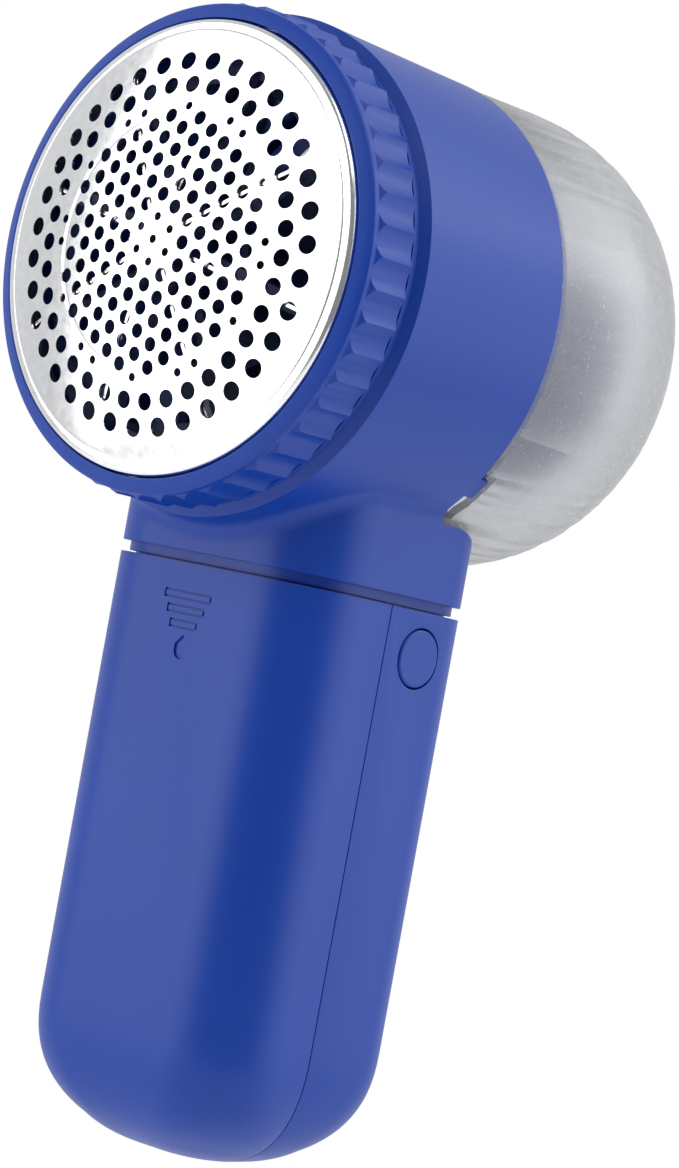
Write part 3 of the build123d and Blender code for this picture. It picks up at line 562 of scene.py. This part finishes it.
class SHAVER_OT_stage(bpy.types.Operator):
    """Camera, pale floor and soft lights"""

    bl_idname = "shaver.stage"
    bl_label = "Stage"

    def execute(self, context):
        camera_data = bpy.data.cameras.new("camera")
        camera = bpy.data.objects.new("camera", camera_data)
        context.collection.objects.link(camera)
        right = Vector((0.7392, 0.6413, 0.2057))
        up = Vector((-0.1428, -0.1493, 0.9784))
        back = right.cross(up)
        camera.matrix_world = Matrix.Translation((0.34725, -0.39049, 0.06940)) @ Matrix(
            (right, up, back)).transposed().to_4x4()
        camera_data.sensor_width = 36.0
        camera_data.lens = 118.77
        camera_data.clip_start = 0.01
        context.scene.camera = camera

        context.scene.view_settings.view_transform = "Standard"
        world = bpy.data.worlds.new("studio")
        world.use_nodes = True
        context.scene.world = world
        nodes, links = world.node_tree.nodes, world.node_tree.links
        output = next(node for node in nodes if node.type == "OUTPUT_WORLD")
        fill = next(node for node in nodes if node.type == "BACKGROUND")
        fill.inputs["Color"].default_value = (0.97, 0.98, 1.0, 1)
        direction = nodes.new("ShaderNodeTexCoord")
        facing = nodes.new("ShaderNodeVectorMath")
        facing.operation = "DOT_PRODUCT"
        facing.inputs[1].default_value = (0.66, -0.75, -0.1)
        strength = nodes.new("ShaderNodeMapRange")
        strength.inputs["From Min"].default_value = -0.6
        strength.inputs["From Max"].default_value = 0.55
        strength.inputs["To Min"].default_value = 0.75
        strength.inputs["To Max"].default_value = 0.24
        links.new(direction.outputs["Generated"], facing.inputs[0])
        links.new(facing.outputs["Value"], strength.inputs["Value"])
        links.new(strength.outputs["Result"], fill.inputs["Strength"])
        seen = nodes.new("ShaderNodeBackground")
        seen.inputs["Color"].default_value = (1, 1, 1, 1)
        path = nodes.new("ShaderNodeLightPath")
        mix = nodes.new("ShaderNodeMixShader")
        links.new(path.outputs["Is Camera Ray"], mix.inputs["Fac"])
        links.new(fill.outputs["Background"], mix.inputs[1])
        links.new(seen.outputs["Background"], mix.inputs[2])
        links.new(mix.outputs["Shader"], output.inputs["Surface"])

        self.lamp(context, "left_card", (-0.502, -0.847, 0.174), 1.0, 6.0)
        self.lamp(context, "right_card", (0.817, 0.538, 0.208), 1.0, 4.2)
        self.lamp(context, "upper_right_card", (0.483, 0.425, 0.766), 0.9, 4.4)
        self.lamp(context, "upper_front_card", (0.407, -0.462, 0.788), 0.6, 2.4)

        deselect()
        bpy.ops.mesh.primitive_circle_add(vertices=96, radius=1.0, fill_type="NGON", location=(0, 0, -0.25))
        floor = settle(context.object, "floor")
        material, shader, coords = new_material("floor")
        tone = tuple(context.scene.shaver_colours.floor)
        two_tone(material, shader, noise(material, coords, 14.0), shade(tone, 0.985), tone)
        shader.inputs["Roughness"].default_value = 0.7
        floor.data.materials.append(material)
        return {"FINISHED"}

    @staticmethod
    def lamp(context, name, offset, size, power):
        """Square soft light that faces the middle of the tool."""
        light = bpy.data.lights.new(name, "AREA")
        light.shape = "SQUARE"
        light.size = size
        light.energy = power
        middle = Vector((0, 0, 0.09))
        lamp = bpy.data.objects.new(name, light)
        context.collection.objects.link(lamp)
        lamp.location = middle + Vector(offset)
        lamp.rotation_mode = "QUATERNION"
        lamp.rotation_quaternion = (-Vector(offset)).to_track_quat("-Z", "Y")


class SHAVER_OT_finishes(bpy.types.Operator):
    """Finishes of the pieces that keep their CAD shape"""

    bl_idname = "shaver.finishes"
    bl_label = "Finishes"

    def execute(self, context):
        slots = {part["node"]: part["material_slot"] for part in frame["record"]["subparts"]}
        for name, node in frame["nodes"].items():
            node.data.materials.clear()
            node.data.materials.append(make_finish(slots[name]))
        return {"FINISHED"}


class SHAVER_OT_foil(bpy.types.Operator):
    """Thin domed foil, punched all over"""

    bl_idname = "shaver.foil"
    bl_label = "Foil"

    def execute(self, context):
        sizes = context.scene.shaver_sizes
        pin = sizes.pin_hole / MM
        creases = (4.4, 17.0, 28.5)
        radii = sorted({pin, *[1.6 + 1.15 * step for step in range(24)], EDGE_R,
                        *[crease + shift for crease in creases for shift in (-0.13, 0.0, 0.13)]})
        face = [(dome(radius) + (0.035 if radius in creases else 0.0), radius) for radius in radii]
        rim = dome(EDGE_R)
        roll = [(rim + 0.09, EDGE_R + 0.28), (rim + 0.28, EDGE_R + 0.5), (rim + 0.6, EDGE_R + 0.65),
                (rim + 1.1, FOIL_R)]
        flange = [(FLANGE_BACK - SHEET, FOIL_R), (FLANGE_BACK - SHEET, FLANGE_R), (FLANGE_BACK, FLANGE_R),
                  (FLANGE_BACK, FOIL_R - SHEET), (rim + 1.1, FOIL_R - SHEET), (rim + 0.6, EDGE_R - 0.1)]
        behind = [(dome(radius, SHEET), radius) for radius in (EDGE_R - 0.4, 24, 18, 12, 6, pin)]
        foil = lathe("foil", face + roll + flange + behind, 240)
        tools = []
        for radius, start, hole in ((OUTER_ROW_R, OUTER_ROW_START, sizes.outer_hole),
                                    (SECOND_ROW_R, SECOND_ROW_START, sizes.second_hole)):
            for step in range(ROW_COUNT):
                angle = math.radians(start + 360 * step / ROW_COUNT)
                tools.append((radius * math.cos(angle), radius * math.sin(angle), hole / MM, 28))
        for column in range(-8, 9):
            for step in range(-8, 9):
                across, along = column * math.sqrt(3) / 2, step + column / 2
                ring = math.hypot(across, along)
                if 0.5 < ring < LATTICE_REACH:
                    small = min(abs(ring - pins) for pins in (1.0, 6.0, math.sqrt(37))) < 0.01
                    hole = pin if small else sizes.lattice_hole / MM
                    tools.append((LATTICE_PITCH * across, LATTICE_PITCH * along, hole, 14 if small else 24))
        punches = [rod(DOME_APEX - 1, x, z, hole, 4.4, sides) for x, z, hole, sides in tools]
        cut(foil, join(punches, "punches"))
        smooth(foil, math.radians(24))
        finish_piece(foil, "foil_ring", make_finish("foil_steel"), "foil_steel", "cutter_foil")
        return {"FINISHED"}


class SHAVER_OT_ring(bpy.types.Operator):
    """Fluted ring that clamps the foil"""

    bl_idname = "shaver.ring"
    bl_label = "Ring"

    def execute(self, context):
        sizes = context.scene.shaver_sizes
        lip = arc((3.0, 31.82), 0.42, 152, 90, 4)
        cove = arc((3.35, 33.0), 0.86, -100, -38, 4)
        outline = [(2.2, RING_BORE), (RING_FRONT + 0.07, RING_BORE + 0.07), (RING_FRONT, RING_BORE + 0.25),
                   (2.3, 31.3), *lip, *cove, (4.6, RING_R), (5.4, RING_R), (RING_BACK - 0.15, RING_R),
                   (RING_BACK, RING_R - 0.15), (RING_BACK, RING_COUNTERBORE), (RING_SHOULDER, RING_COUNTERBORE),
                   (RING_SHOULDER, RING_BORE)]
        ring = lathe("fluted_ring", outline, 400)
        count = sizes.flutes
        centre = RING_R + FLUTE_R - sizes.flute_depth / MM
        tools = []
        for step in range(count):
            angle = 2 * math.pi * step / count
            tools.append(rod(FLUTE_FRONT, centre * math.cos(angle), centre * math.sin(angle),
                             FLUTE_R, 9, 96))
        cut(ring, join(tools, "flutes"), overlaps=True)
        lugs = [sector(COLLAR_R - 0.55, RING_COUNTERBORE + 0.2, 9.0, 9.8, 82 + 120 * lug, 16)
                for lug in range(3)]
        for lug in lugs:
            modify(ring, "BOOLEAN", object=lug, operation="UNION", solver="EXACT")
            bpy.data.objects.remove(lug)
        smooth(ring, math.radians(26))
        finish_piece(ring, "foil_ring", make_finish("blue_shell"), "blue_shell", "foil_ring")
        return {"FINISHED"}


class SHAVER_OT_grip(bpy.types.Operator):
    """Battery cover in front and fixed shell behind, parted by a fine seam"""

    bl_idname = "shaver.grip"
    bl_label = "Grip"

    def execute(self, context):
        edge = context.scene.shaver_sizes.edge
        cover = self.shell("battery_cover_shell", (SEAM_Y - SEAM_GAP / 2, 60))
        cut(cover, block((-1.7, SEAM_Y - 2.6, FOOT - 1), (1.7, SEAM_Y + 1, FOOT + 3.2), GRIP))
        round_edges(cover, edge)
        cut(cover, self.mark())
        smooth(cover)
        finish_piece(cover, "battery_cover", make_finish("blue_shell"), "blue_shell", "battery_cover")

        rear = self.shell("rear_shell", (-60, SEAM_Y + SEAM_GAP / 2))
        bosses = []
        for height in SCREW_HEIGHTS:
            boss = block((-3, 0.3, height - 3), (3, HALF_Y - 0.8, height + 3), GRIP)
            round_edges(boss, 0.5 * MM)
            bosses.append(boss)
        for boss in bosses:
            modify(rear, "BOOLEAN", object=boss, operation="UNION", solver="EXACT")
            bpy.data.objects.remove(boss)
        for height in SCREW_HEIGHTS:
            cut(rear, post((0, 0, height), "Y", 0.9, 9.2))
        cut(rear, post((HALF_X - WALL - 1, BUTTON_Y, BUTTON_H), "X", BUTTON_HOLE_R, WALL + 3, 64))
        round_edges(rear, edge)
        smooth(rear)
        finish_piece(rear, "housing", make_finish("blue_shell"), "blue_shell", "grip_rear_shell")
        return {"FINISHED"}

    @staticmethod
    def shell(name, away):
        """Half of the hollow grip, up to the groove."""
        half = grip_blank(name, 0)
        cut(half, grip_blank("hollow", WALL))
        cut(half, block((-60, -60, GROOVE_BOTTOM), (60, 90, 40)))
        low, high = away
        cut(half, block((-60, low, -90), (60, high, 60), GRIP))
        tidy_mesh(half)
        return half

    @staticmethod
    def mark():
        """Tool that engraves three outlined bars over an arrow head in the cover's face."""
        front = -HALF_Y
        shapes = []
        for width, height in ((8.5, 0.0), (6.8, -1.9), (5.0, -3.8)):
            middle = (-0.4, MARK_TOP + height)
            shapes.append(outline_bar(middle, width, 1.15, 0.26, front))
        arrow = block((-1.25, front - 0.4, MARK_TOP - 8.4), (1.25, front + MARK_DEPTH, MARK_TOP - 5.2), GRIP)
        pick(arrow)
        bpy.ops.object.mode_set(mode="EDIT")
        bpy.ops.mesh.select_mode(type="EDGE")
        foot = select_edges(arrow, lambda a, b: min(a.z, b.z) < MARK_TOP - 8 and abs(a.x) > 1
                            and abs(a.x - b.x) < 0.1
                            and abs(a.z - b.z) < 0.2)
        bpy.ops.mesh.bevel(offset=1.2 * MM, segments=6, affect="EDGES")
        head = select_edges(arrow, lambda a, b: min(a.z, b.z) > MARK_TOP - 5.6 and abs(a.x) > 1
                            and abs(a.x - b.x) < 0.1 and abs(a.z - b.z) < 0.2)
        bpy.ops.mesh.bevel(offset=1.2 * MM, segments=1, affect="EDGES")
        bpy.ops.object.mode_set(mode="OBJECT")
        if not foot or not head:
            raise RuntimeError("the arrow's corners were not found")
        shapes.append(arrow)
        return join(shapes, "mark")


class SHAVER_OT_bin(bpy.types.Operator):
    """Frosted lint bin and the ribbed motor cover that shows through it"""

    bl_idname = "shaver.bin"
    bl_label = "Lint bin"

    def execute(self, context):
        lint_bin = lathe("frosted_bin_shell", self.outline(), 240, closed=False)
        cut(lint_bin, sector(SLEEVE_R - 1, BIN_R + 1, BIN_FRONT - 1, SLEEVE_BACK + 0.2, -54, 16))
        cut(lint_bin, sector(SLEEVE_R - 1, BIN_R + 1, BIN_FRONT - 1, BIN_FRONT + 1.1, -38.2, 12))
        smooth(lint_bin)
        finish_piece(lint_bin, "lint_bin", make_finish("frosted_bin"), "frosted_bin", "lint_bin")

        cover = lathe("ribbed_motor_cover", self.cover_outline(), 160, closed=False)
        modify(cover, "BOOLEAN", object=self.ribs(), operation="UNION", solver="EXACT", use_self=True)
        bpy.data.objects.remove(bpy.data.objects["ribs"])
        front = MOTOR_BACK + 3.4
        cut(cover, block((-5, front - 1, -COVER_R - 3), (5, front + 6, -MOUNT_R + 3)))
        smooth(cover, math.radians(40))
        finish_piece(cover, "housing", make_finish("grey_plastic"), "grey_plastic", "motor_cover")
        return {"FINISHED"}

    @staticmethod
    def outline():
        """Half profile of the bin, from its end over the round shoulder to the skirt's edge and back."""
        profiles = []
        for inset, steps in ((0.0, 30), (BIN_WALL, 24)):
            side, back = BIN_R - inset, BIN_BACK - inset
            reach = back - BIN_SHOULDER
            curve = bezier([(BIN_SHOULDER, side), (BIN_SHOULDER + 0.7 * reach, side),
                            (back, BIN_FLAT_R + 0.525 * (side - BIN_FLAT_R)), (back, BIN_FLAT_R)], steps)
            profiles.append([(BIN_FRONT + 0.35, side), *curve, (back, 0.001)])
        outer, inner = profiles
        outer.insert(0, (BIN_FRONT + 0.1, BIN_R - 0.1))
        outer.insert(0, (BIN_FRONT, BIN_R - 0.35))
        inner.insert(0, (BIN_FRONT, BIN_R - BIN_WALL))
        return outer[::-1] + inner

    @staticmethod
    def cover_outline():
        """Half profile of the motor cover: a cup that opens to the rear, with a closed wall across it."""
        front, wall, back = MOTOR_BACK + 3.4, COVER_WALL, COVER_BACK
        return [(wall, 0.001), (wall, COVER_BORE), (back - 0.2, COVER_BORE), (back, COVER_BORE + 0.3),
                (back, COVER_R - 0.6), (back - 0.6, COVER_R), (front, COVER_R), (front, MOUNT_R + 0.05),
                (front + 1.6, MOUNT_R + 0.05), (front + 1.6, COVER_BORE), (wall - 1.5, COVER_BORE),
                (wall - 1.5, 0.001)]

    @staticmethod
    def ribs():
        """All the ribs of the motor cover, each with rounded edges."""
        front, back = MOTOR_BACK + 3.4, COVER_BACK - 2
        ribs = []
        for step in range(COVER_RIBS):
            angle = 2 * math.pi * step / COVER_RIBS
            rib = block((COVER_R - 0.6, front, -0.6), (COVER_R + 2.0, back, 0.6))
            round_edges(rib, 0.3 * MM, segments=2)
            pick(rib)
            bpy.ops.transform.rotate(value=angle, orient_axis="Y", center_override=HEAD)
            settle(rib, "rib")
            ribs.append(rib)
        return join(ribs, "ribs")


CLASSES = [ShaverSizes, ShaverColours, SHAVER_OT_stage, SHAVER_OT_finishes, SHAVER_OT_foil, SHAVER_OT_ring,
           SHAVER_OT_grip, SHAVER_OT_bin]
STEPS = ["stage", "finishes", "foil", "ring", "grip", "bin"]


class SHAVER_PT_panel(bpy.types.Panel):
    """The shaver's sizes, colours and building steps"""

    bl_idname = "SHAVER_PT_panel"
    bl_label = "Fabric shaver"
    bl_space_type = "VIEW_3D"
    bl_region_type = "UI"
    bl_category = "Shaver"

    def draw(self, context):
        for group in (context.scene.shaver_sizes, context.scene.shaver_colours):
            for key in group.bl_rna.properties.keys():
                if key not in ("rna_type", "name"):
                    self.layout.prop(group, key)
        for step in STEPS:
            self.layout.operator("shaver." + step)


CLASSES.append(SHAVER_PT_panel)


def register():
    for cls in CLASSES:
        bpy.utils.register_class(cls)
    bpy.types.Scene.shaver_sizes = PointerProperty(type=ShaverSizes)
    bpy.types.Scene.shaver_colours = PointerProperty(type=ShaverColours)


def unregister():
    del bpy.types.Scene.shaver_colours
    del bpy.types.Scene.shaver_sizes
    for cls in reversed(CLASSES):
        bpy.utils.unregister_class(cls)


def main():
    """Build the whole tool."""
    register()
    for step in STEPS:
        getattr(bpy.ops.shaver, step)()


if __name__ == "__main__":
    main()
